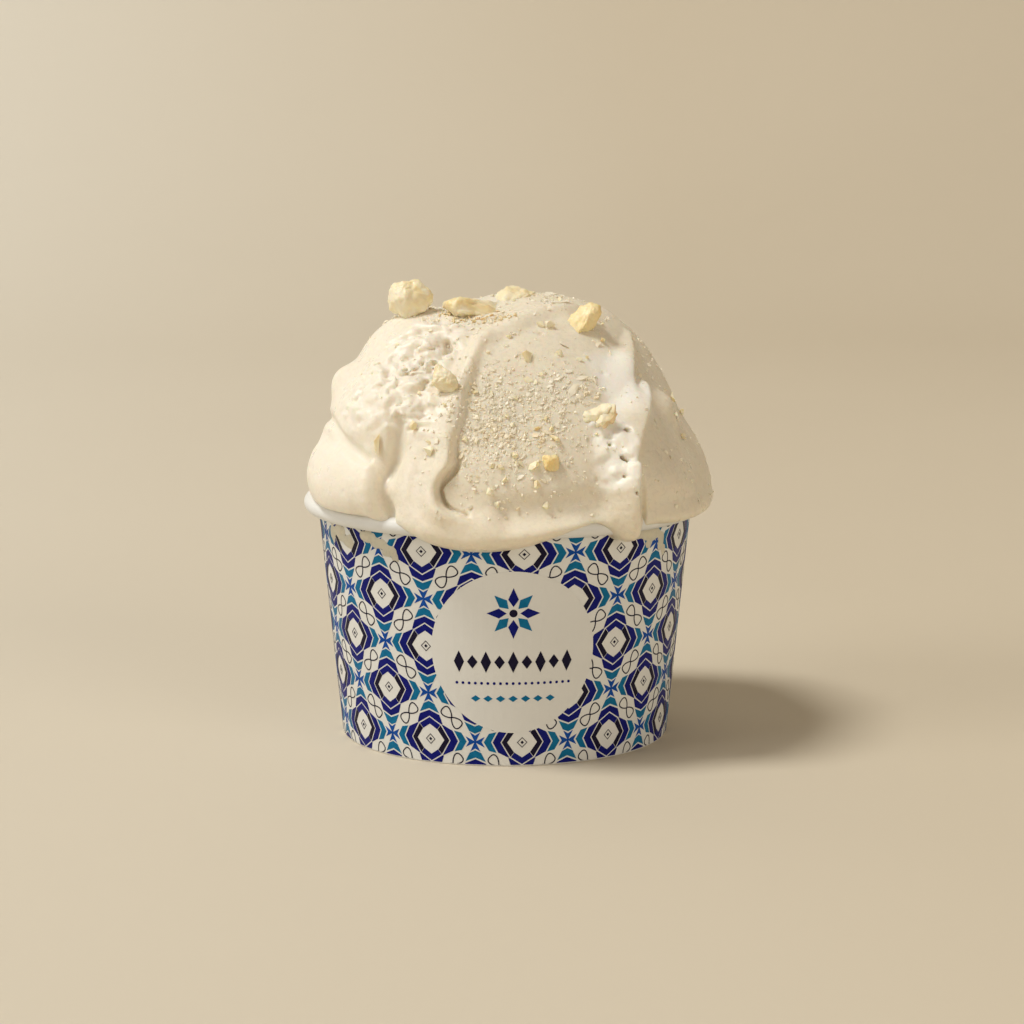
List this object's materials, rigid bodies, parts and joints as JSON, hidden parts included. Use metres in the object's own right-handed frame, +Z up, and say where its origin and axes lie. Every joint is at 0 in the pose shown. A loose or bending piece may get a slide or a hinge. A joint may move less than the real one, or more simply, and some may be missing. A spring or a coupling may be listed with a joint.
{
  "type": "gelato cup",
  "caption": "Round paper tub with a rolled rim, heaped with pale nut gelato folded over its edge and scattered with broken nuts.",
  "frame": {"origin": "on the cup's axis at the floor it stands on", "axes": "+Z up along the cup's axis, -Y towards the front, +X to the right as seen from the front"},
  "size_m": [0.097, 0.0975, 0.1077],
  "materials": {
    "printed_paper": "cream coated paper with a blue geometric print",
    "board": "uncoated pale board",
    "gelato": "smooth creamy food with a soft gloss, rough where torn",
    "nut": "dry broken kernel, pale gold"
  },
  "bodies": {
    "root": {"cup_wall": "printed_paper", "cup_base": "board", "gelato": "gelato", "nut_1": "nut", "nut_2": "nut", "nut_3": "nut", "nut_4": "nut", "nut_5": "nut", "nut_6": "nut", "nut_7": "nut", "nut_8": "nut", "nut_9": "nut"}
  },
  "joints": []
}
